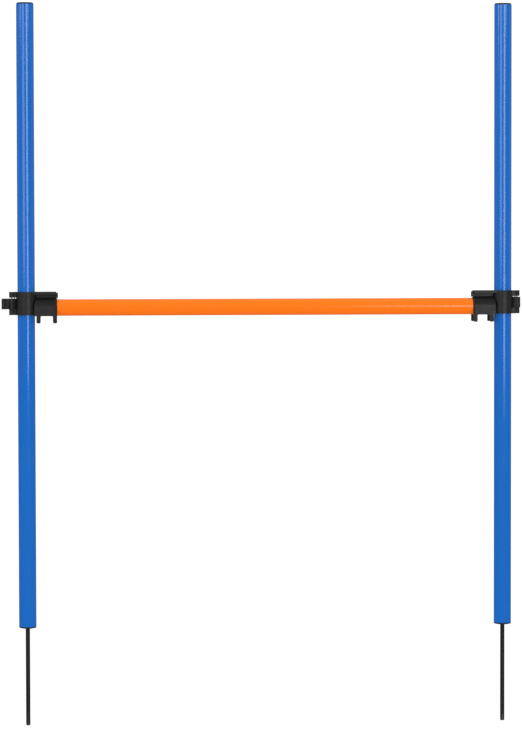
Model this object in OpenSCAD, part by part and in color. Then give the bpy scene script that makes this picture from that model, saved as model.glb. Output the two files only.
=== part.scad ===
// Height-adjustable agility hurdle: two ground-spike poles, two cam-lock clips and a knock-off bar.
// Millimetres, +Z up, +X from the left pole to the right one, -Y towards the viewer.
// The origin is on the ground line, midway between the two poles.

/* [Poles] */
// Distance between the two pole axes
pole_spacing = 662; // [500:1:900]
// Outside diameter of a pole tube
pole_d = 24; // [22:0.5:26]
// Wall of a pole tube
pole_wall = 1.4; // [1:0.1:2]
// Length of a pole tube
pole_length = 860; // [600:5:1100]

/* [Ground spikes] */
// Diameter of a ground spike
spike_d = 6; // [5:0.5:8]
// Length of a spike below the ground line
spike_length = 135; // [80:1:200]

/* [Bar] */
// Outside diameter of the bar tube
bar_d = 22.8; // [20:0.1:23]
// Wall of the bar tube
bar_wall = 1.2; // [1:0.1:2]
// Height of the bar's axis above the ground line
bar_height = 445; // [100:1:550]

/* [Clips] */
// Height of a clip's collar
clip_height = 32; // [30:0.5:36]
// Wall of a clip's collar
collar_wall = 2; // [1.6:0.1:2.2]
// Length of the bar cradle, from the pole's axis to its mouth
cradle_reach = 42.5; // [40:0.1:48]
// Wall of the cradle's two arms
arm_wall = 2.2; // [1.8:0.1:2.6]
// How far the left cam lever is swung open, from 0 for locked
left_lever_open = 90; // [0:5:90]
// How far the right cam lever is swung open, from 0 for locked
right_lever_open = 0; // [0:5:90]
// How far the left cam lever has slid up its pin
left_lever_lift = 0; // [0:0.1:1.2]
// How far the right cam lever has slid up its pin
right_lever_lift = 0; // [0:0.1:1.2]

/* [Hidden] */
$fn = 96;
eps = 0.02;

// Poles, with the plug that closes each end
pole_r = pole_d / 2;
pole_bore_r = pole_r - pole_wall;
plug_gap = 0.05;
plug_wall = 1.6;
cap_flange = 2;
cap_flange_r = pole_r - 0.5;
cap_spigot = 14;
foot_flange = 1.6;
foot_dome = 1.4;
foot_dome_r = pole_r - 0.9;
foot_boss_r = 5;
foot_spigot = 40;
foot_rib = 1.6;
pole_foot_z = foot_dome + foot_flange;

// Ground spikes: the tang is held in the plug, and the rod starts at the ground line
spike_r = spike_d / 2;
tang_r = spike_r - 0.2;
tang_length = 38;
tip_chamfer = 1;

// Bar
bar_r = bar_d / 2;
bar_bore_r = bar_r - bar_wall;
bar_end_x = pole_spacing / 2 - 17;
bar_cap_flange = 1.5;
bar_cap_spigot = 10;
bar_tube_length = 2 * (bar_end_x - bar_cap_flange);

// Clips: heights are from the middle of the collar
collar_bore_r = pole_r + 0.1;
collar_r = collar_bore_r + collar_wall;
bar_below_clip = 5.8;
clip_z = bar_height + bar_below_clip;
half_clip = clip_height / 2;
cradle_r = bar_r + 0.2;
arm_r = cradle_r + arm_wall;
arm_foot_z = -17.3;
relief_back = 24;
relief_r = norm([11.2 + relief_back, arm_r]);
mouth_bevel_length = 2.4;
mouth_bevel_depth = arm_wall - 0.6;
plate_reach = cradle_reach - 1.2;
plate_underside = 12.2;
plate_half_width = 11;
spine_half_width = 2;
nose_reach = 2.5;
nose_low = 7.2;
nose_high = 14.6;
nose_half_width = 5;
finger_width = 5.8;
finger_starts = [14, cradle_reach - finger_width];
finger_foot_z = -27.2;
finger_flare = 1.5;
finger_corner = 1.8;
finger_root_r = 1.5;

// Cam lever: it turns on a steel pin between two lugs on the outer side of the collar
pivot_x = -20;
lug_r = 3.6;
lug_web = 4.4;
upper_lug_z = 8.2;
lower_lug_z = -8;
window_y = [-5.5, 3];
bridge_x = [-17, -15.7];
bridge_y = [5.9, 7.9];
pin_r = 1;
pin_hold_r = pin_r + 0.02;
pin_run_r = pin_r + 0.06;
lever_low = lower_lug_z + 0.1;
lever_height = 14.8;
lever_barrel_r = 4.7;
lever_heel_r = 4.4;
lever_heel_y = 1.9;
lever_heel_neck = 2 * lever_heel_r - 0.2;
lever_nose_r = 3;
lever_nose_x = -pivot_x - pole_r - 0.1 - lever_nose_r;
lever_nose_neck = 2 * lever_nose_r - 0.3;
lever_arm_in = 17.9;
lever_arm_out = 22.3;
lever_arm_angle = 34.5;
lever_tip_r = 2.6;

pole_blue = [0.10, 0.36, 0.72];
bar_orange = [0.96, 0.45, 0.08];
clip_black = [0.09, 0.09, 0.10];
cap_black = [0.05, 0.06, 0.08];
spike_black = [0.12, 0.12, 0.12];
pin_steel = [0.70, 0.71, 0.72];

// ---- placing: the right side is the left side's parts turned half a turn about Z ----

module at_pole(side) {
    translate([side * pole_spacing / 2, 0, 0]) children();
}

module at_clip(side) {
    translate([side * pole_spacing / 2, 0, clip_z])
        rotate([0, 0, side < 0 ? 0 : 180])
            children();
}

// A box given by its lowest and highest corners
module span(low, high) {
    translate(low) cube(high - low);
}

module tube(r, bore, length) {
    difference() {
        cylinder(r = r, h = length);
        translate([0, 0, -1]) cylinder(r = bore, h = length + 2);
    }
}

// ---- poles ----

module pole_tube() {
    color(pole_blue)
        translate([0, 0, pole_foot_z])
            tube(pole_r, pole_bore_r, pole_length);
}

// A push-in cap: a thin flange over the cut edge and a hollow spigot in the tube
module pole_top_cap() {
    spigot_r = pole_bore_r - plug_gap;
    color(cap_black)
        translate([0, 0, pole_foot_z + pole_length])
            union() {
                cylinder(r = cap_flange_r, h = cap_flange);
                translate([0, 0, -cap_spigot])
                    tube(spigot_r, spigot_r - plug_wall, cap_spigot + eps);
            }
}

// The plug at the foot: a domed flange, a spigot shell and a ribbed socket that holds the spike
module spike_plug() {
    spigot_r = pole_bore_r - plug_gap;
    top_z = pole_foot_z + foot_spigot;
    color(cap_black)
        difference() {
            union() {
                cylinder(r1 = foot_boss_r, r2 = foot_dome_r, h = foot_dome);
                translate([0, 0, foot_dome]) cylinder(r = pole_r, h = foot_flange);
                translate([0, 0, pole_foot_z - eps])
                    tube(spigot_r, spigot_r - plug_wall, foot_spigot);
                cylinder(r = foot_boss_r, h = top_z);
                for (turn = [0, 90])
                    rotate([0, 0, turn])
                        span([-spigot_r + 1, -foot_rib / 2, foot_dome + 0.5],
                             [spigot_r - 1, foot_rib / 2, top_z - 2]);
            }
            translate([0, 0, -1]) cylinder(r = tang_r + 0.02, h = tang_length + 1 + 0.2);
        }
}

module ground_spike() {
    color(spike_black)
        union() {
            cylinder(r = tang_r, h = tang_length);
            translate([0, 0, -spike_length + tip_chamfer])
                cylinder(r = spike_r, h = spike_length - tip_chamfer);
            translate([0, 0, -spike_length])
                cylinder(r1 = spike_r - tip_chamfer, r2 = spike_r, h = tip_chamfer);
        }
}

// ---- clips: local +X points to the bar, and the cam lever is on the -X side ----

// Outline of the cradle seen along the bar: an inverted U round the bar, open at the bottom
module cradle_outline() {
    difference() {
        union() {
            circle(r = arm_r);
            translate([-arm_r, arm_foot_z + bar_below_clip])
                square([2 * arm_r, -arm_foot_z - bar_below_clip]);
        }
        circle(r = cradle_r);
        translate([-cradle_r, arm_foot_z])
            square([2 * cradle_r, -arm_foot_z]);
        translate([-arm_r - 1, arm_foot_z - bar_below_clip])
            square([2 * arm_r + 2, 2 * bar_below_clip]);
    }
}

// Extrudes a Y-Z outline along +X
module along_x(start, end) {
    translate([start, 0, -bar_below_clip])
        rotate([90, 0, 90])
            linear_extrude(end - start) children();
}

// Extrudes an X-Z outline along +Y
module along_y(start, end) {
    translate([0, end, 0])
        rotate([90, 0, 0])
            linear_extrude(end - start) children();
}

// What the mouth loses so that its rim slopes down to the bar
module mouth_bevel() {
    start = cradle_reach - mouth_bevel_length;
    slope = [
        [arm_r, start],
        [arm_r - mouth_bevel_depth, cradle_reach],
        [arm_r - mouth_bevel_depth, cradle_reach + 1],
        [arm_r + 1, cradle_reach + 1],
        [arm_r + 1, start]
    ];
    translate([0, 0, -bar_below_clip])
        rotate([90, 0, 90])
            rotate_extrude(angle = 180) polygon(slope);
    for (side = [0, 1])
        mirror([0, side, 0])
            translate([0, 0, arm_foot_z - 1])
                linear_extrude(-arm_foot_z - bar_below_clip + 1)
                    polygon([for (point = slope) [point[1], point[0]]]);
}

// The inverted U, cut back beside the collar so that its arms can flex
module cradle() {
    difference() {
        along_x(4, cradle_reach) cradle_outline();
        translate([-relief_back, 0, -half_clip - 6]) cylinder(r = relief_r, h = clip_height + 6);
        mouth_bevel();
    }
}

// A finger's face: rounded corners at the foot, and a fillet on the side that faces the middle
module finger_face(start) {
    corner = finger_corner;
    end = start + finger_width;
    inner = start < cradle_reach / 2 ? end : start;
    turn = start < cradle_reach / 2 ? 1 : -1;
    translate([start, finger_foot_z + corner])
        square([finger_width, arm_foot_z + 2 - finger_foot_z - corner]);
    translate([start + corner, finger_foot_z]) square([finger_width - 2 * corner, 2 * corner]);
    for (x = [start + corner, end - corner])
        translate([x, finger_foot_z + corner]) circle(r = corner);
    difference() {
        translate([min(inner, inner + turn * finger_root_r), arm_foot_z - finger_root_r])
            square([finger_root_r, finger_root_r + 1]);
        translate([inner + turn * finger_root_r, arm_foot_z - finger_root_r])
            circle(r = finger_root_r);
    }
}

// A lead-in finger: it carries on down from the arm and leans outwards
module finger(start, side) {
    inner_y = side * cradle_r;
    outer_y = side * arm_r;
    lean = side * finger_flare;
    top = arm_foot_z + 0.5 + bar_below_clip;
    foot = finger_foot_z - 0.5 + bar_below_clip;
    intersection() {
        along_x(start - 2, start + finger_width + 2)
            polygon([[inner_y, top], [outer_y, top], [outer_y + lean, foot], [inner_y + lean, foot]]);
        along_y(-arm_r - finger_flare - 1, arm_r + finger_flare + 1) finger_face(start);
    }
}

module cradle_fingers() {
    for (start = finger_starts, side = [-1, 1])
        finger(start, side);
}

// The stiff top of the cradle, which joins it to the collar
module cradle_spine() {
    span([0, -plate_half_width, plate_underside], [plate_reach, plate_half_width, half_clip]);
    span([0, -spine_half_width, 6.6], [plate_reach, spine_half_width, plate_underside + eps]);
    span([plate_reach - 1, -nose_half_width, nose_low],
         [plate_reach + nose_reach, nose_half_width, nose_high]);
}

// One lug with its web to the collar and the foot of the bridge that ties the two lugs together
module lug(low, high) {
    translate([pivot_x, 0, low]) cylinder(r = lug_r, h = high - low);
    span([pivot_x, -lug_web / 2, low], [-collar_bore_r, lug_web / 2, high]);
    span([bridge_x[0], 0, low], [-collar_bore_r + 1, bridge_y[1], high]);
}

module lugs() {
    lug(upper_lug_z, half_clip);
    lug(-half_clip, lower_lug_z);
    span([bridge_x[0], bridge_y[0], lower_lug_z - 1], [bridge_x[1], bridge_y[1], upper_lug_z + 1]);
}

module clip_body() {
    color(clip_black)
        difference() {
            union() {
                translate([0, 0, -half_clip]) cylinder(r = collar_r, h = clip_height);
                cradle();
                cradle_fingers();
                cradle_spine();
                lugs();
            }
            translate([0, 0, -half_clip - 1]) cylinder(r = collar_bore_r, h = clip_height + 2);
            span([-collar_r - 0.5, window_y[0], lower_lug_z], [0, window_y[1], upper_lug_z]);
            translate([pivot_x, 0, -half_clip - 1]) cylinder(r = pin_hold_r, h = clip_height + 2);
        }
}

// Drawn locked: the nose points at the pole, and the arm follows the collar towards -Y
module lever_arm_outline() {
    middle = (lever_arm_in + lever_arm_out) / 2;
    far = 2 * lever_arm_out;
    intersection() {
        difference() {
            circle(r = lever_arm_out);
            circle(r = lever_arm_in);
        }
        rotate(180) polygon([[0, 0], [far, 0], [far * cos(lever_arm_angle), far * sin(lever_arm_angle)]]);
    }
    rotate(180 + lever_arm_angle)
        translate([middle, 0])
            circle(r = lever_tip_r);
}

module lever_outline() {
    difference() {
        union() {
            circle(r = lever_barrel_r);
            translate([0, lever_heel_y]) circle(r = lever_heel_r);
            translate([-lever_heel_neck / 2, 0]) square([lever_heel_neck, lever_heel_y]);
            translate([lever_nose_x, 0]) circle(r = lever_nose_r);
            translate([0, -lever_nose_neck / 2]) square([lever_nose_x, lever_nose_neck]);
            translate([-pivot_x, 0]) lever_arm_outline();
        }
        circle(r = pin_run_r);
    }
}

module cam_lever(opened, lift) {
    color(clip_black)
        translate([pivot_x, 0, lever_low + lift])
            rotate([0, 0, -opened])
                linear_extrude(lever_height) lever_outline();
}

module lever_pin() {
    color(pin_steel)
        translate([pivot_x, 0, -half_clip]) cylinder(r = pin_r, h = clip_height);
}

// ---- bar ----

module bar_tube() {
    color(bar_orange)
        translate([-bar_tube_length / 2, 0, bar_height])
            rotate([0, 90, 0])
                tube(bar_r, bar_bore_r, bar_tube_length);
}

module bar_end_cap(side) {
    spigot_r = bar_bore_r - plug_gap;
    color(cap_black)
        translate([side * bar_tube_length / 2, 0, bar_height])
            rotate([0, side * 90, 0])
                union() {
                    cylinder(r = bar_r - 0.2, h = bar_cap_flange);
                    translate([0, 0, -bar_cap_spigot])
                        tube(spigot_r, spigot_r - plug_wall, bar_cap_spigot + eps);
                }
}

at_pole(-1) pole_tube();  // left_pole_tube
at_pole(1) pole_tube();  // right_pole_tube
at_pole(-1) pole_top_cap();  // left_pole_top_cap
at_pole(1) pole_top_cap();  // right_pole_top_cap
at_pole(-1) spike_plug();  // left_spike_plug
at_pole(1) spike_plug();  // right_spike_plug
at_pole(-1) ground_spike();  // left_ground_spike
at_pole(1) ground_spike();  // right_ground_spike
at_clip(-1) clip_body();  // left_clip_body
at_clip(1) clip_body();  // right_clip_body
at_clip(-1) cam_lever(left_lever_open, left_lever_lift);  // left_cam_lever
at_clip(1) cam_lever(right_lever_open, right_lever_lift);  // right_cam_lever
at_clip(-1) lever_pin();  // left_lever_pin
at_clip(1) lever_pin();  // right_lever_pin
bar_tube();
bar_end_cap(-1);  // left_bar_end_cap
bar_end_cap(1);  // right_bar_end_cap
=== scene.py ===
import math

import bmesh
import bpy
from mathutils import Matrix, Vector


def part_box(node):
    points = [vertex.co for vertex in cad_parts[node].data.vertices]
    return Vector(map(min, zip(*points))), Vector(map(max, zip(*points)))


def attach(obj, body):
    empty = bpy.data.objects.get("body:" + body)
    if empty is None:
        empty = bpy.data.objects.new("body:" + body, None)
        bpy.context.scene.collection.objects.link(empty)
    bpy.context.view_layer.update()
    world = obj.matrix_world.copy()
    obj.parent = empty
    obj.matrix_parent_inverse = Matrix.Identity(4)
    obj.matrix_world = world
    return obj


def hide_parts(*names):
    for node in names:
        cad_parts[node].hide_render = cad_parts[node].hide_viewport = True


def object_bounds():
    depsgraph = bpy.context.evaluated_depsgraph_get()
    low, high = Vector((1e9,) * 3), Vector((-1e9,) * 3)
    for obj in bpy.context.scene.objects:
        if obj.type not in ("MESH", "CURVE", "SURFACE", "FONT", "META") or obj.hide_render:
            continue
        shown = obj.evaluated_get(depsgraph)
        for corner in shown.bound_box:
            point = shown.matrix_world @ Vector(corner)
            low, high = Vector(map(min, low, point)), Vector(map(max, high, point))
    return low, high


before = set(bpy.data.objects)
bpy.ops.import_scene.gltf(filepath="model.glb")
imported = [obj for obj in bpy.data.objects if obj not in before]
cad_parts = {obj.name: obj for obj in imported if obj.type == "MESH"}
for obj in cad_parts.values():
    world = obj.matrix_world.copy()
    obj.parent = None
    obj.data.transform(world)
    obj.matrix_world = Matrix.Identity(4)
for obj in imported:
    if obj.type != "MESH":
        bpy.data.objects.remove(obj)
cad_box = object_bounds()


# ---------------------------------------------------------------------------------------
# The camera stands nearly 5 m off and a little above the bar, with a long lens. It looks
# slightly down and from the left, so the left pole is a little nearer than the right one.
# ---------------------------------------------------------------------------------------
lens = bpy.data.cameras.new("long_lens")
lens.sensor_width = 36.0
lens.lens = 172.4
camera = bpy.data.objects.new("camera", lens)
camera.location = (-0.3022, -4.8446, 0.5808)
camera.rotation_euler = (math.radians(87.437), math.radians(0.113), math.radians(-3.5))
bpy.context.collection.objects.link(camera)
bpy.context.scene.camera = camera
bpy.context.scene.view_settings.view_transform = "Standard"


# ---------------------------------------------------------------------------------------
# The studio: a white tent lit mostly from above, a bright soft box to the right of the
# camera and a wide dimmer one to its left, over a plain white floor under the spikes. Two
# raised lamps, further round on each side, put their streaks on the tops of the poles only.
# The camera, mirror reflections and soft light each see a different tent and floor.
# ---------------------------------------------------------------------------------------
CAMERA_WHITE = 1.05


def soft_box(name, place, aim, width, height, radiance):
    """An area light of a given brightness per square metre, so its size can be changed."""
    light = bpy.data.lights.new(name, "AREA")
    light.shape = "RECTANGLE"
    light.size = width
    light.size_y = height
    light.energy = radiance * width * height * math.pi
    box = bpy.data.objects.new(name, light)
    box.location = place
    box.rotation_euler = (Vector(aim) - Vector(place)).to_track_quat("-Z", "Y").to_euler()
    box.visible_camera = False
    bpy.context.collection.objects.link(box)


soft_box("right_soft_box", (1.45, -4.30, 0.76), (0.0, 0.0, 0.76), 1.75, 1.26, 4.8)
soft_box("left_soft_box", (-2.05, -3.70, 0.91), (0.0, 0.0, 0.91), 2.30, 0.98, 2.6)
soft_box("left_raised_lamp", (-3.96, -1.69, 1.28), (-0.33, 0.0, 0.90), 1.10, 0.50, 4.0)
soft_box("right_raised_lamp", (2.35, -2.97, 1.28), (0.33, 0.0, 0.90), 0.80, 0.50, 4.0)


def grey_by_direction(nodes, links, place, axis, stops):
    """A grey that depends on how far a direction points along +axis. The stops are
    (position, grey), with position 0 for straight against the axis and 1 for straight along it."""
    split = nodes.new("ShaderNodeSeparateXYZ")
    from_0_to_1 = nodes.new("ShaderNodeMapRange")
    from_0_to_1.inputs["From Min"].default_value = -1.0
    ramp = nodes.new("ShaderNodeValToRGB")
    while len(ramp.color_ramp.elements) < len(stops):
        ramp.color_ramp.elements.new(0.5)
    for element, (position, grey) in zip(ramp.color_ramp.elements, stops):
        element.position = position
        element.color = (grey, grey, grey, 1.0)
    links.new(place, split.inputs["Vector"])
    links.new(split.outputs[axis], from_0_to_1.inputs["Value"])
    links.new(from_0_to_1.outputs["Result"], ramp.inputs["Fac"])
    return ramp.outputs["Color"]


tent = bpy.data.worlds.new("white_tent")
tent.use_nodes = True
bpy.context.scene.world = tent
nodes = tent.node_tree.nodes
links = tent.node_tree.links
nodes.clear()
direction = nodes.new("ShaderNodeTexCoord")
ray = nodes.new("ShaderNodeLightPath")
cloth_light = nodes.new("ShaderNodeBackground")
cloth_light.inputs["Strength"].default_value = 1.6
links.new(grey_by_direction(nodes, links, direction.outputs["Generated"], "Z",
                            ((0.0, 0.38), (0.5, 0.38), (0.60, 0.55), (0.70, 1.0))),
          cloth_light.inputs["Color"])
mirrored = nodes.new("ShaderNodeBackground")
links.new(grey_by_direction(nodes, links, direction.outputs["Generated"], "Y",
                            ((0.0, 0.10), (0.30, 0.14), (0.5, 0.40), (0.75, 0.26), (1.0, 0.12))),
          mirrored.inputs["Color"])
backdrop = nodes.new("ShaderNodeBackground")
backdrop.inputs["Color"].default_value = (1.0, 1.0, 1.0, 1.0)
backdrop.inputs["Strength"].default_value = CAMERA_WHITE
gloss_or_cloth = nodes.new("ShaderNodeMixShader")
either = nodes.new("ShaderNodeMixShader")
world_out = nodes.new("ShaderNodeOutputWorld")
links.new(ray.outputs["Is Glossy Ray"], gloss_or_cloth.inputs["Fac"])
links.new(cloth_light.outputs["Background"], gloss_or_cloth.inputs[1])
links.new(mirrored.outputs["Background"], gloss_or_cloth.inputs[2])
links.new(ray.outputs["Is Camera Ray"], either.inputs["Fac"])
links.new(gloss_or_cloth.outputs["Shader"], either.inputs[1])
links.new(backdrop.outputs["Background"], either.inputs[2])
links.new(either.outputs["Shader"], world_out.inputs["Surface"])

floor_mesh = bpy.data.meshes.new("studio_floor")
floor_z = cad_box[0].z - 0.0005
reach = 12.0
floor_mesh.from_pydata(
    [(-reach, -reach, floor_z), (reach, -reach, floor_z),
     (reach, reach, floor_z), (-reach, reach, floor_z)],
    [], [(0, 1, 2, 3)])
floor = bpy.data.objects.new("studio_floor", floor_mesh)
bpy.context.collection.objects.link(floor)
floor_paint = bpy.data.materials.new("white_floor_paint")
floor_paint.use_nodes = True
nodes = floor_paint.node_tree.nodes
links = floor_paint.node_tree.links
nodes.clear()
ray = nodes.new("ShaderNodeLightPath")
bounce = nodes.new("ShaderNodeEmission")
bounce.inputs["Strength"].default_value = 1.1
in_gloss = nodes.new("ShaderNodeEmission")
in_gloss.inputs["Strength"].default_value = 0.14
washed_out = nodes.new("ShaderNodeEmission")
washed_out.inputs["Strength"].default_value = CAMERA_WHITE
gloss_or_bounce = nodes.new("ShaderNodeMixShader")
seen = nodes.new("ShaderNodeMixShader")
floor_out = nodes.new("ShaderNodeOutputMaterial")
links.new(ray.outputs["Is Glossy Ray"], gloss_or_bounce.inputs["Fac"])
links.new(bounce.outputs["Emission"], gloss_or_bounce.inputs[1])
links.new(in_gloss.outputs["Emission"], gloss_or_bounce.inputs[2])
links.new(ray.outputs["Is Camera Ray"], seen.inputs["Fac"])
links.new(gloss_or_bounce.outputs["Shader"], seen.inputs[1])
links.new(washed_out.outputs["Emission"], seen.inputs[2])
links.new(seen.outputs["Shader"], floor_out.inputs["Surface"])
floor_mesh.materials.append(floor_paint)


# ---------------------------------------------------------------------------------------
# The two poles: thin-walled plastic tube, extruded in a glossy mid blue and sawn to length.
# The die leaves faint lines along the tube, and the clips scuff it as they are moved.
# ---------------------------------------------------------------------------------------
UPWARDS = (0, 0, 1)
POLE_WALL = 0.0014
SAWN_EDGE = 0.0002
TUBE_SIDES = 128


def with_modifiers(piece):
    """A new mesh of the piece with its modifiers applied."""
    return bpy.data.meshes.new_from_object(
        piece.evaluated_get(bpy.context.evaluated_depsgraph_get()))


def finished(name, bm, sharp_degrees=35.0):
    """A mesh object at the origin with its faces outwards, smooth except at its real edges.
    Its normals follow the largest faces, so long and flat ones stay true up to a rounded edge."""
    bmesh.ops.recalc_face_normals(bm, faces=bm.faces)
    for face in bm.faces:
        face.smooth = True
    for edge in bm.edges:
        if len(edge.link_faces) == 2:
            edge.smooth = edge.calc_face_angle(0.0) < math.radians(sharp_degrees)
    mesh = bpy.data.meshes.new(name)
    bm.to_mesh(mesh)
    bm.free()
    piece = bpy.data.objects.new(name, mesh)
    bpy.context.collection.objects.link(piece)
    weighting = piece.modifiers.new("normals_by_area", "WEIGHTED_NORMAL")
    weighting.mode = "FACE_AREA"
    weighting.keep_sharp = True
    shaded = with_modifiers(piece)
    piece.modifiers.clear()
    piece.data = shaded
    bpy.data.meshes.remove(mesh)
    shaded.name = name
    return piece


def turned(bm, profile, centre, along, sides=96, closed_loop=False):
    """Spins (radius, distance) points about a line through centre. A radius of 0 is one point."""
    along = Vector(along).normalized()
    across = along.orthogonal().normalized()
    up = along.cross(across)
    rings = []
    for radius, distance in profile:
        middle = Vector(centre) + along * distance
        if radius == 0.0:
            rings.append([bm.verts.new(middle)])
            continue
        ring = []
        for i in range(sides):
            turn = 2.0 * math.pi * i / sides
            outwards = across * math.cos(turn) + up * math.sin(turn)
            ring.append(bm.verts.new(middle + outwards * radius))
        rings.append(ring)
    pairs = list(zip(rings, rings[1:]))
    if closed_loop:
        pairs.append((rings[-1], rings[0]))
    for a, b in pairs:
        for i in range(sides):
            j = (i + 1) % sides
            corners = [a[i % len(a)], a[j % len(a)], b[j % len(b)], b[i % len(b)]]
            unique = []
            for corner in corners:
                if corner not in unique:
                    unique.append(corner)
            if len(unique) > 2:
                bm.faces.new(unique)


def rounded_corner(radius, distance, turn_r, turn_d, size, steps=4):
    """Points that round a convex corner of a profile, from its radial side to its end side."""
    points = []
    for i in range(steps + 1):
        a = 0.5 * math.pi * i / steps
        points.append((radius - turn_r * size * (1.0 - math.cos(a)),
                       distance - turn_d * size * (1.0 - math.sin(a))))
    return points


def tube_profile(outer, bore, start, end, edge):
    """The closed section of a sawn tube whose four edges are broken by a small round."""
    profile = list(reversed(rounded_corner(outer, start, 1, -1, edge, 3)))
    profile += rounded_corner(outer, end, 1, 1, edge, 3)
    profile += list(reversed(rounded_corner(bore, end, -1, 1, edge, 3)))
    profile += rounded_corner(bore, start, -1, -1, edge, 3)
    return profile


def node_group(name, inputs, outputs):
    group = bpy.data.node_groups.new(name, "ShaderNodeTree")
    for label, kind, value in inputs:
        socket = group.interface.new_socket(label, in_out="INPUT", socket_type=kind)
        if value is not None:
            socket.default_value = value
    for label, kind in outputs:
        group.interface.new_socket(label, in_out="OUTPUT", socket_type=kind)
    return group, group.nodes.new("NodeGroupInput"), group.nodes.new("NodeGroupOutput")


def die_lines_group():
    """Streaks that run along an extrusion: stretched noise, fine and coarse."""
    group, taken, given = node_group(
        "die_lines",
        [("Along", "NodeSocketVector", (1.0, 1.0, 1.0)), ("Fine Scale", "NodeSocketFloat", 900.0)],
        [("Fine", "NodeSocketFloat"), ("Coarse", "NodeSocketFloat")])
    n, l = group.nodes, group.links
    place = n.new("ShaderNodeTexCoord")
    stretch = n.new("ShaderNodeVectorMath")
    stretch.operation = "MULTIPLY"
    fine = n.new("ShaderNodeTexNoise")
    fine.inputs["Detail"].default_value = 2.0
    coarse = n.new("ShaderNodeTexNoise")
    coarse.inputs["Scale"].default_value = 160.0
    coarse.inputs["Detail"].default_value = 3.0
    l.new(place.outputs["Object"], stretch.inputs[0])
    l.new(taken.outputs["Along"], stretch.inputs[1])
    l.new(stretch.outputs["Vector"], fine.inputs["Vector"])
    l.new(taken.outputs["Fine Scale"], fine.inputs["Scale"])
    l.new(stretch.outputs["Vector"], coarse.inputs["Vector"])
    l.new(fine.outputs["Fac"], given.inputs["Fine"])
    l.new(coarse.outputs["Fac"], given.inputs["Coarse"])
    return group


def handling_marks_group():
    """Where hands, clips and grass have touched: soft smudges and thin broken scuffs."""
    group, taken, given = node_group(
        "handling_marks",
        [("Smudge Scale", "NodeSocketFloat", 22.0), ("Scuff Scale", "NodeSocketFloat", 260.0),
         ("Scuff Direction", "NodeSocketVector", (1.0, 1.0, 1.0))],
        [("Smudges", "NodeSocketFloat"), ("Scuffs", "NodeSocketFloat")])
    n, l = group.nodes, group.links
    place = n.new("ShaderNodeTexCoord")
    smudge = n.new("ShaderNodeTexNoise")
    smudge.inputs["Detail"].default_value = 4.0
    smudge.inputs["Roughness"].default_value = 0.6
    smudge_range = n.new("ShaderNodeMapRange")
    smudge_range.inputs["From Min"].default_value = 0.42
    smudge_range.inputs["From Max"].default_value = 0.72
    stretch = n.new("ShaderNodeVectorMath")
    stretch.operation = "MULTIPLY"
    scuff = n.new("ShaderNodeTexNoise")
    scuff.inputs["Detail"].default_value = 5.0
    scuff.inputs["Roughness"].default_value = 0.7
    scuff_range = n.new("ShaderNodeMapRange")
    scuff_range.inputs["From Min"].default_value = 0.63
    scuff_range.inputs["From Max"].default_value = 0.74
    l.new(place.outputs["Object"], smudge.inputs["Vector"])
    l.new(taken.outputs["Smudge Scale"], smudge.inputs["Scale"])
    l.new(smudge.outputs["Fac"], smudge_range.inputs["Value"])
    l.new(smudge_range.outputs["Result"], given.inputs["Smudges"])
    l.new(place.outputs["Object"], stretch.inputs[0])
    l.new(taken.outputs["Scuff Direction"], stretch.inputs[1])
    l.new(stretch.outputs["Vector"], scuff.inputs["Vector"])
    l.new(taken.outputs["Scuff Scale"], scuff.inputs["Scale"])
    l.new(scuff.outputs["Fac"], scuff_range.inputs["Value"])
    l.new(scuff_range.outputs["Result"], given.inputs["Scuffs"])
    return group


DIE_LINES = die_lines_group()
HANDLING_MARKS = handling_marks_group()


def use_group(tree, group, **values):
    node = tree.nodes.new("ShaderNodeGroup")
    node.node_tree = group
    for label, value in values.items():
        node.inputs[label.replace("_", " ")].default_value = value
    return node


def number_mix(tree, factor, low, high):
    """low where factor is 0 and high where it is 1, as a plain number."""
    node = tree.nodes.new("ShaderNodeMapRange")
    node.inputs["To Min"].default_value = low
    node.inputs["To Max"].default_value = high
    tree.links.new(factor, node.inputs["Value"])
    return node.outputs["Result"]


def colour_mix(tree, factor, low, high):
    node = tree.nodes.new("ShaderNodeMix")
    node.data_type = "RGBA"
    tree.links.new(factor, node.inputs["Factor"])
    for socket, colour in ((node.inputs["A"], low), (node.inputs["B"], high)):
        if isinstance(colour, tuple):
            socket.default_value = (*colour, 1.0)
        else:
            tree.links.new(colour, socket)
    return node.outputs["Result"]


def add_numbers(tree, a, b, weight_a=1.0, weight_b=1.0):
    parts = []
    for socket, weight in ((a, weight_a), (b, weight_b)):
        times = tree.nodes.new("ShaderNodeMath")
        times.operation = "MULTIPLY"
        times.inputs[1].default_value = weight
        tree.links.new(socket, times.inputs[0])
        parts.append(times.outputs[0])
    total = tree.nodes.new("ShaderNodeMath")
    total.operation = "ADD"
    tree.links.new(parts[0], total.inputs[0])
    tree.links.new(parts[1], total.inputs[1])
    return total.outputs[0]


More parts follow.
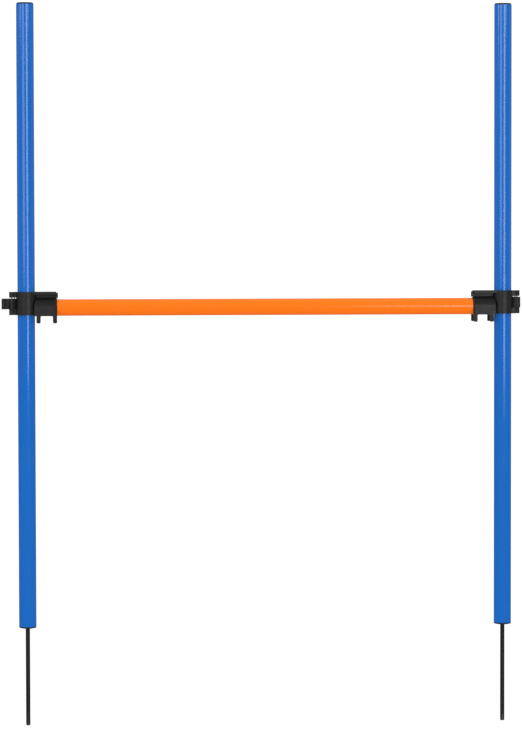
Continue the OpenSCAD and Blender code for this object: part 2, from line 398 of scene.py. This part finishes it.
def extruded_plastic(name, colour, deep_colour, along, roughness, wave):
    """Glossy extruded tube: die lines and a slow wave in the gloss, smudges and scuffs."""
    material = bpy.data.materials.new(name)
    material.use_nodes = True
    tree = material.node_tree
    shader = tree.nodes["Principled BSDF"]
    lines = use_group(tree, DIE_LINES, Along=along, Fine_Scale=700.0)
    marks = use_group(tree, HANDLING_MARKS, Smudge_Scale=16.0, Scuff_Scale=420.0,
                      Scuff_Direction=tuple(0.05 + 0.95 * a for a in along))
    tint = colour_mix(tree, lines.outputs["Coarse"], deep_colour, colour)
    pale = tuple(min(1.0, c * 0.85 + 0.10) for c in colour)
    scuff_amount = number_mix(tree, marks.outputs["Scuffs"], 0.0, 0.16)
    tree.links.new(colour_mix(tree, scuff_amount, tint, pale), shader.inputs["Base Color"])
    smear = add_numbers(tree, marks.outputs["Smudges"], marks.outputs["Scuffs"], 0.04, 0.10)
    base = number_mix(tree, lines.outputs["Fine"], roughness - 0.015, roughness + 0.015)
    tree.links.new(add_numbers(tree, base, smear), shader.inputs["Roughness"])
    shader.inputs["IOR"].default_value = 1.49
    height = add_numbers(tree, lines.outputs["Coarse"], lines.outputs["Fine"], wave, wave * 0.1)
    bump = tree.nodes.new("ShaderNodeBump")
    bump.inputs["Strength"].default_value = 0.6
    bump.inputs["Distance"].default_value = 0.0004
    tree.links.new(height, bump.inputs["Height"])
    tree.links.new(bump.outputs["Normal"], shader.inputs["Normal"])
    return material


POLE_BLUE = extruded_plastic("pole_blue_plastic", (0.0055, 0.104, 0.400), (0.0045, 0.094, 0.372),
                             (1.0, 1.0, 0.03), 0.08, 0.08)
sides_of_hurdle = ("left", "right")
for side in sides_of_hurdle:
    low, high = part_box(side + "_pole_tube")
    outer = (high.x - low.x) / 2
    centre = ((low.x + high.x) / 2, (low.y + high.y) / 2, low.z)
    bm = bmesh.new()
    turned(bm, tube_profile(outer, outer - POLE_WALL, 0.0, high.z - low.z, SAWN_EDGE),
           centre, UPWARDS, TUBE_SIDES, closed_loop=True)
    pole = finished(side + "_pole", bm)
    pole.data.materials.append(POLE_BLUE)
    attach(pole, "uprights")
    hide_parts(side + "_pole_tube")


# ---------------------------------------------------------------------------------------
# Black plastic caps close the poles: a thin round-edged flange with a spigot pushed into
# the tube. The foot plug is the same idea, deeper, with a domed foot round the spike.
# ---------------------------------------------------------------------------------------
def moulded_grain_group():
    """The spark-eroded skin of an injection mould: fine grain over a slow swell."""
    group, taken, given = node_group(
        "moulded_grain",
        [("Grain Scale", "NodeSocketFloat", 2600.0), ("Swell Scale", "NodeSocketFloat", 90.0)],
        [("Grain", "NodeSocketFloat"), ("Swell", "NodeSocketFloat")])
    n, l = group.nodes, group.links
    place = n.new("ShaderNodeTexCoord")
    grain = n.new("ShaderNodeTexVoronoi")
    grain.feature = "SMOOTH_F1"
    swell = n.new("ShaderNodeTexNoise")
    swell.inputs["Detail"].default_value = 3.0
    l.new(place.outputs["Object"], grain.inputs["Vector"])
    l.new(taken.outputs["Grain Scale"], grain.inputs["Scale"])
    l.new(place.outputs["Object"], swell.inputs["Vector"])
    l.new(taken.outputs["Swell Scale"], swell.inputs["Scale"])
    l.new(grain.outputs["Distance"], given.inputs["Grain"])
    l.new(swell.outputs["Fac"], given.inputs["Swell"])
    return group


MOULDED_GRAIN = moulded_grain_group()


def moulded_plastic(name, colour, worn_colour, roughness, grain_depth):
    """Black injection-moulded plastic: satin, finely grained, a little rubbed and dusty."""
    material = bpy.data.materials.new(name)
    material.use_nodes = True
    tree = material.node_tree
    shader = tree.nodes["Principled BSDF"]
    skin = use_group(tree, MOULDED_GRAIN, Grain_Scale=2600.0, Swell_Scale=120.0)
    marks = use_group(tree, HANDLING_MARKS, Smudge_Scale=60.0, Scuff_Scale=900.0,
                      Scuff_Direction=(1.0, 1.0, 0.35))
    rubbed = number_mix(tree, marks.outputs["Scuffs"], 0.0, 0.5)
    swelled = colour_mix(tree, skin.outputs["Swell"], tuple(c * 0.85 for c in colour), colour)
    tree.links.new(colour_mix(tree, rubbed, swelled, worn_colour), shader.inputs["Base Color"])
    smear = add_numbers(tree, marks.outputs["Smudges"], marks.outputs["Scuffs"], 0.05, 0.08)
    base = number_mix(tree, skin.outputs["Swell"], roughness - 0.05, roughness + 0.05)
    tree.links.new(add_numbers(tree, base, smear), shader.inputs["Roughness"])
    shader.inputs["IOR"].default_value = 1.5
    shader.inputs["Specular IOR Level"].default_value = 0.38
    height = add_numbers(tree, skin.outputs["Grain"], skin.outputs["Swell"], grain_depth, 0.4)
    bump = tree.nodes.new("ShaderNodeBump")
    bump.inputs["Strength"].default_value = 0.5
    bump.inputs["Distance"].default_value = 0.0003
    tree.links.new(height, bump.inputs["Height"])
    tree.links.new(bump.outputs["Normal"], shader.inputs["Normal"])
    return material


def spigot_end(inner, outer):
    """The open end of a hollow spigot, with both its edges broken."""
    return [(inner, 0.0003), (inner + 0.0003, 0.0), (outer - 0.0004, 0.0), (outer, 0.0006)]


SPIGOT_CLEARANCE = 0.00005
SPIGOT_WALL = 0.0016
SAME_POINT = 1e-6
CAP_BLACK = moulded_plastic("cap_black_plastic", (0.016, 0.017, 0.020), (0.055, 0.056, 0.06),
                            0.42, 0.5)
for side in sides_of_hurdle:
    low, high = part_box(side + "_pole_top_cap")
    tube_low, tube_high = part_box(side + "_pole_tube")
    rim = tube_high.z - low.z
    top = high.z - low.z
    flange = (high.x - low.x) / 2
    spigot = (tube_high.x - tube_low.x) / 2 - POLE_WALL - SPIGOT_CLEARANCE
    inner = spigot - SPIGOT_WALL
    dimple = top - 0.00025
    ceiling = rim - 0.0002
    centre = ((low.x + high.x) / 2, 0.0, low.z)
    bm = bmesh.new()
    profile = spigot_end(inner, spigot)
    profile += [(spigot, rim), (flange - 0.0002, rim), (flange, rim + 0.0002)]
    profile += rounded_corner(flange, top, 1, 1, 0.0013, 6)
    profile += [(0.0042, top), (0.0040, dimple), (0.0012, dimple)]
    profile += [(0.0009, top - 0.00005), (0.0, top)]
    turned(bm, profile, centre, UPWARDS)
    hollow = [(inner, 0.0003), (inner, ceiling - 0.0006), (inner - 0.0006, ceiling), (0.0, ceiling)]
    turned(bm, hollow, centre, UPWARDS)
    bmesh.ops.remove_doubles(bm, verts=bm.verts, dist=SAME_POINT)
    cap = finished(side + "_top_cap", bm, 40.0)
    cap.data.materials.append(CAP_BLACK)
    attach(cap, "uprights")
    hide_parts(side + "_pole_top_cap")

for side in sides_of_hurdle:
    low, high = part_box(side + "_spike_plug")
    tube_low, tube_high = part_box(side + "_pole_tube")
    flange = (high.x - low.x) / 2
    lip = tube_low.z - low.z
    tall = high.z - low.z
    spigot = (tube_high.x - tube_low.x) / 2 - POLE_WALL - SPIGOT_CLEARANCE
    inner = spigot - SPIGOT_WALL
    floor_of_cup = lip + 0.002
    socket = 0.0028 + 0.00004
    socket_depth = 0.0382
    boss = 0.0050
    centre = ((low.x + high.x) / 2, 0.0, low.z)
    bm = bmesh.new()
    profile = [(socket, 0.0003), (socket + 0.0003, 0.0), (boss, 0.0001), (flange * 0.62, 0.00045)]
    profile += [(flange - 0.0016, 0.0010), (flange - 0.0005, 0.0014), (flange - 0.0001, 0.0019)]
    profile += [(flange, 0.0022), (flange, lip - 0.0002), (flange - 0.0002, lip)]
    profile += [(spigot, lip), (spigot, tall * 0.92), (spigot - 0.0005, tall * 0.93)]
    profile += [(inner, tall * 0.93), (inner, floor_of_cup), (boss, floor_of_cup)]
    profile += [(boss, tall - 0.0003), (boss - 0.0003, tall), (0.0, tall)]
    turned(bm, profile, centre, UPWARDS)
    turned(bm, [(socket, 0.0003), (socket, socket_depth), (0.0, socket_depth)], centre, UPWARDS)
    bmesh.ops.remove_doubles(bm, verts=bm.verts, dist=SAME_POINT)
    plug = finished(side + "_foot_plug", bm, 40.0)
    plug.data.materials.append(CAP_BLACK)
    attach(plug, "uprights")
    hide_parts(side + "_spike_plug")


# ---------------------------------------------------------------------------------------
# The ground spikes: 6 mm steel rod, cut off with a small chamfer and painted satin black.
# The paint has a faint orange peel and is chipped and scraped towards the tip.
# ---------------------------------------------------------------------------------------
def spike_paint_material(tip_z):
    material = bpy.data.materials.new("spike_black_paint")
    material.use_nodes = True
    tree = material.node_tree
    n, l = tree.nodes, tree.links
    shader = n["Principled BSDF"]
    place = n.new("ShaderNodeTexCoord")
    split = n.new("ShaderNodeSeparateXYZ")
    near_tip = n.new("ShaderNodeMapRange")
    near_tip.inputs["From Min"].default_value = tip_z
    near_tip.inputs["From Max"].default_value = tip_z + 0.030
    near_tip.inputs["To Min"].default_value = 0.30
    near_tip.inputs["To Max"].default_value = 0.0
    chips = n.new("ShaderNodeTexNoise")
    chips.inputs["Scale"].default_value = 900.0
    chips.inputs["Detail"].default_value = 4.0
    worn = n.new("ShaderNodeMath")
    worn.operation = "ADD"
    bare = n.new("ShaderNodeMapRange")
    bare.inputs["From Min"].default_value = 0.82
    bare.inputs["From Max"].default_value = 0.90
    peel = n.new("ShaderNodeTexNoise")
    peel.inputs["Scale"].default_value = 1100.0
    bump = n.new("ShaderNodeBump")
    bump.inputs["Strength"].default_value = 0.25
    bump.inputs["Distance"].default_value = 0.0001
    marks = use_group(tree, HANDLING_MARKS, Smudge_Scale=40.0, Scuff_Scale=700.0,
                      Scuff_Direction=(1.0, 1.0, 0.08))
    l.new(place.outputs["Object"], split.inputs["Vector"])
    l.new(split.outputs["Z"], near_tip.inputs["Value"])
    l.new(place.outputs["Object"], chips.inputs["Vector"])
    l.new(near_tip.outputs["Result"], worn.inputs[0])
    l.new(chips.outputs["Fac"], worn.inputs[1])
    l.new(worn.outputs[0], bare.inputs["Value"])
    paint = colour_mix(tree, marks.outputs["Scuffs"], (0.006, 0.006, 0.007), (0.022, 0.022, 0.023))
    colour = colour_mix(tree, bare.outputs["Result"], paint, (0.32, 0.31, 0.30))
    l.new(colour, shader.inputs["Base Color"])
    l.new(number_mix(tree, bare.outputs["Result"], 0.0, 0.9), shader.inputs["Metallic"])
    l.new(number_mix(tree, marks.outputs["Smudges"], 0.30, 0.42), shader.inputs["Roughness"])
    l.new(place.outputs["Object"], peel.inputs["Vector"])
    l.new(peel.outputs["Fac"], bump.inputs["Height"])
    l.new(bump.outputs["Normal"], shader.inputs["Normal"])
    return material


SPIKE_PAINT = spike_paint_material(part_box("left_ground_spike")[0].z)
for side in sides_of_hurdle:
    low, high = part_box(side + "_ground_spike")
    rod = (high.x - low.x) / 2
    tang = rod - 0.0002
    ground = -low.z
    tall = high.z - low.z
    bm = bmesh.new()
    profile = [(0.0, 0.0), (rod - 0.0012, 0.0), (rod - 0.0009, 0.00008)]
    profile += [(rod - 0.0001, 0.0009), (rod, 0.0012)]
    profile += [(rod, ground - 0.0001), (rod - 0.0001, ground), (tang, ground)]
    profile += [(tang, tall - 0.0003), (tang - 0.0003, tall), (0.0, tall)]
    turned(bm, profile, ((low.x + high.x) / 2, 0.0, low.z), UPWARDS, 64)
    spike = finished(side + "_spike", bm, 30.0)
    spike.data.materials.append(SPIKE_PAINT)
    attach(spike, "uprights")
    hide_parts(side + "_ground_spike")


# ---------------------------------------------------------------------------------------
# The two clips: one black moulding each, with a collar that slides on the pole, a springy
# cradle that grips the bar, and two lugs for the lever. All its edges are softly rounded.
# ---------------------------------------------------------------------------------------
MOULDED_EDGE = 0.0005
MOULDED_EDGE_STEPS = 3


def softened(node, name, radius, steps, sharp_degrees=28.0):
    """A merged copy of a moulding from the frame with its edges rounded to radius."""
    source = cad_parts[node]
    bm = bmesh.new()
    bm.from_mesh(source.data)
    bmesh.ops.remove_doubles(bm, verts=bm.verts, dist=2e-6)
    bmesh.ops.dissolve_limit(bm, angle_limit=math.radians(0.6), verts=bm.verts, edges=bm.edges)
    mesh = bpy.data.meshes.new(name + "_rough")
    bm.to_mesh(mesh)
    bm.free()
    rough = bpy.data.objects.new(name + "_rough", mesh)
    bpy.context.collection.objects.link(rough)
    rounding = rough.modifiers.new("rounded_edges", "BEVEL")
    rounding.limit_method = "ANGLE"
    rounding.angle_limit = math.radians(sharp_degrees)
    rounding.width = radius
    rounding.segments = steps
    rounding.use_clamp_overlap = True
    rounding.miter_outer = "MITER_ARC"
    made = with_modifiers(rough)
    bpy.data.objects.remove(rough)
    bm = bmesh.new()
    bm.from_mesh(made)
    bpy.data.meshes.remove(made)
    # A merge of 1e-6 here collapses small faces of the rounding and leaves the mesh open.
    bmesh.ops.remove_doubles(bm, verts=bm.verts, dist=1e-7)
    bmesh.ops.triangulate(bm, faces=[f for f in bm.faces if len(f.verts) > 4])
    return finished(name, bm, 32.0)


CLIP_BLACK = moulded_plastic("clip_black_plastic", (0.0105, 0.0105, 0.011), (0.03, 0.03, 0.03),
                             0.38, 0.3)
for side in sides_of_hurdle:
    clip = softened(side + "_clip_body", side + "_clip", MOULDED_EDGE, MOULDED_EDGE_STEPS)
    clip.data.materials.clear()
    clip.data.materials.append(CLIP_BLACK)
    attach(clip, side + "_clip")
    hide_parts(side + "_clip_body")


# ---------------------------------------------------------------------------------------
# The cam levers: a barrel with a nose that wedges against the pole, and a curved thumb
# arm. The same black plastic as the clips.
# ---------------------------------------------------------------------------------------
for side in sides_of_hurdle:
    lever = softened(side + "_cam_lever", side + "_lever", MOULDED_EDGE, MOULDED_EDGE_STEPS)
    lever.data.materials.clear()
    lever.data.materials.append(CLIP_BLACK)
    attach(lever, side + "_lever")
    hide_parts(side + "_cam_lever")


# ---------------------------------------------------------------------------------------
# The lever pins: 2 mm drawn steel wire, cut and pressed through both lugs.
# ---------------------------------------------------------------------------------------
def drawn_steel_material():
    material = bpy.data.materials.new("drawn_steel")
    material.use_nodes = True
    tree = material.node_tree
    shader = tree.nodes["Principled BSDF"]
    lines = use_group(tree, DIE_LINES, Along=(1.0, 1.0, 0.02), Fine_Scale=4000.0)
    tint = colour_mix(tree, lines.outputs["Coarse"], (0.42, 0.42, 0.43), (0.62, 0.62, 0.63))
    tree.links.new(tint, shader.inputs["Base Color"])
    shader.inputs["Metallic"].default_value = 1.0
    tree.links.new(number_mix(tree, lines.outputs["Fine"], 0.22, 0.40), shader.inputs["Roughness"])
    bump = tree.nodes.new("ShaderNodeBump")
    bump.inputs["Strength"].default_value = 0.3
    bump.inputs["Distance"].default_value = 0.00005
    tree.links.new(lines.outputs["Fine"], bump.inputs["Height"])
    tree.links.new(bump.outputs["Normal"], shader.inputs["Normal"])
    return material


DRAWN_STEEL = drawn_steel_material()
for side in sides_of_hurdle:
    low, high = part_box(side + "_lever_pin")
    wire = (high.x - low.x) / 2
    tall = high.z - low.z
    centre = ((low.x + high.x) / 2, (low.y + high.y) / 2, low.z)
    bm = bmesh.new()
    profile = [(0.0, 0.0), (wire - 0.00025, 0.0), (wire - 0.00007, 0.00007), (wire, 0.00025)]
    profile += [(wire, tall - 0.00025), (wire - 0.00007, tall - 0.00007)]
    profile += [(wire - 0.00025, tall), (0.0, tall)]
    turned(bm, profile, centre, UPWARDS, 48)
    pin = finished(side + "_pin", bm, 50.0)
    pin.data.materials.append(DRAWN_STEEL)
    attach(pin, side + "_clip")
    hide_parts(side + "_lever_pin")


# ---------------------------------------------------------------------------------------
# The cross bar: glossy orange extruded tube, a touch thinner than the poles, with a black
# cap in each end. It snaps into the two cradles.
# ---------------------------------------------------------------------------------------
BAR_WALL = 0.0012
BAR_ORANGE = extruded_plastic("bar_orange_plastic", (0.82, 0.146, 0.0012), (0.79, 0.135, 0.001),
                              (0.03, 1.0, 1.0), 0.13, 0.05)
low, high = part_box("bar_tube")
outer = (high.y - low.y) / 2
bar_centre = Vector((low.x, (low.y + high.y) / 2, (low.z + high.z) / 2))
bm = bmesh.new()
turned(bm, tube_profile(outer, outer - BAR_WALL, 0.0, high.x - low.x, SAWN_EDGE),
       bar_centre, (1, 0, 0), TUBE_SIDES, closed_loop=True)
bar = finished("cross_bar_tube", bm)
bar.data.materials.append(BAR_ORANGE)
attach(bar, "cross_bar")
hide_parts("bar_tube")

for side, way in (("left", -1), ("right", 1)):
    low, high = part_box(side + "_bar_end_cap")
    flange = (high.y - low.y) / 2
    length = high.x - low.x
    rim = length - 0.0015
    ceiling = rim - 0.0004
    spigot = outer - BAR_WALL - SPIGOT_CLEARANCE
    inner = spigot - SPIGOT_WALL
    start = Vector((high.x if way < 0 else low.x, bar_centre.y, bar_centre.z))
    bm = bmesh.new()
    profile = spigot_end(inner, spigot)
    profile += [(spigot, rim), (flange - 0.0001, rim), (flange, rim + 0.0001)]
    profile += rounded_corner(flange, length, 1, 1, 0.0009, 5) + [(0.0, length)]
    turned(bm, profile, start, (way, 0, 0))
    turned(bm, [(inner, 0.0003), (inner, ceiling), (0.0, ceiling)], start, (way, 0, 0))
    bmesh.ops.remove_doubles(bm, verts=bm.verts, dist=SAME_POINT)
    cap = finished(side + "_bar_cap", bm, 40.0)
    cap.data.materials.append(CAP_BLACK)
    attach(cap, "cross_bar")
    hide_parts(side + "_bar_end_cap")
